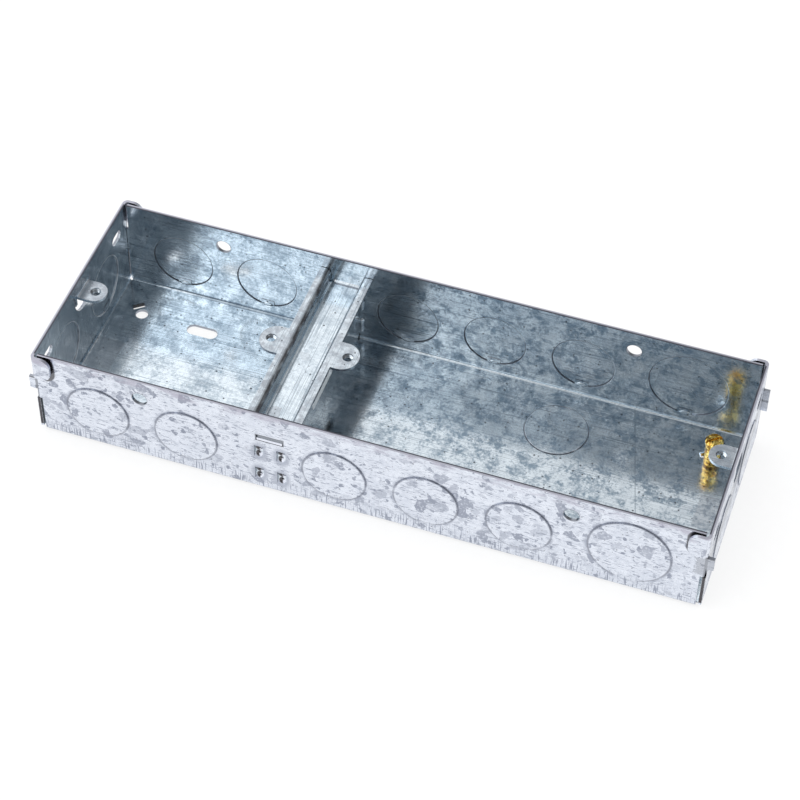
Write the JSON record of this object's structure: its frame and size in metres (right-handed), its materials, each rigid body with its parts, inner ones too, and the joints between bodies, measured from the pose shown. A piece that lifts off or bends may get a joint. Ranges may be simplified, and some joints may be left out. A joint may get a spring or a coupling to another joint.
{
  "type": "flush back box",
  "caption": "Galvanised steel flush back box for wall plaster, a one-gang and a two-gang side parted by a bridge, with screw lugs, conduit knockouts and a brass earth terminal.",
  "frame": {"origin": "middle of the underside of the floor", "axes": "+X along the box from the one-gang side to the two-gang side, +Y to the wall behind the earth terminal, +Z out of the open face"},
  "size_m": [0.2218, 0.0756, 0.035],
  "materials": {
    "zinc_body": "bright zinc coating with spangle, rolling lines and dull blotches",
    "zinc_bridge": "bright zinc coating",
    "zinc_divider": "zinc coating, in shade",
    "brass_pillar": "turned, unlacquered",
    "brass_screw": "turned, unlacquered"
  },
  "bodies": {
    "root": {"box_body": "zinc_body", "bridge": "zinc_bridge", "divider": "zinc_divider", "earth_terminal": "brass_pillar", "earth_screw": "brass_screw"}
  },
  "joints": []
}
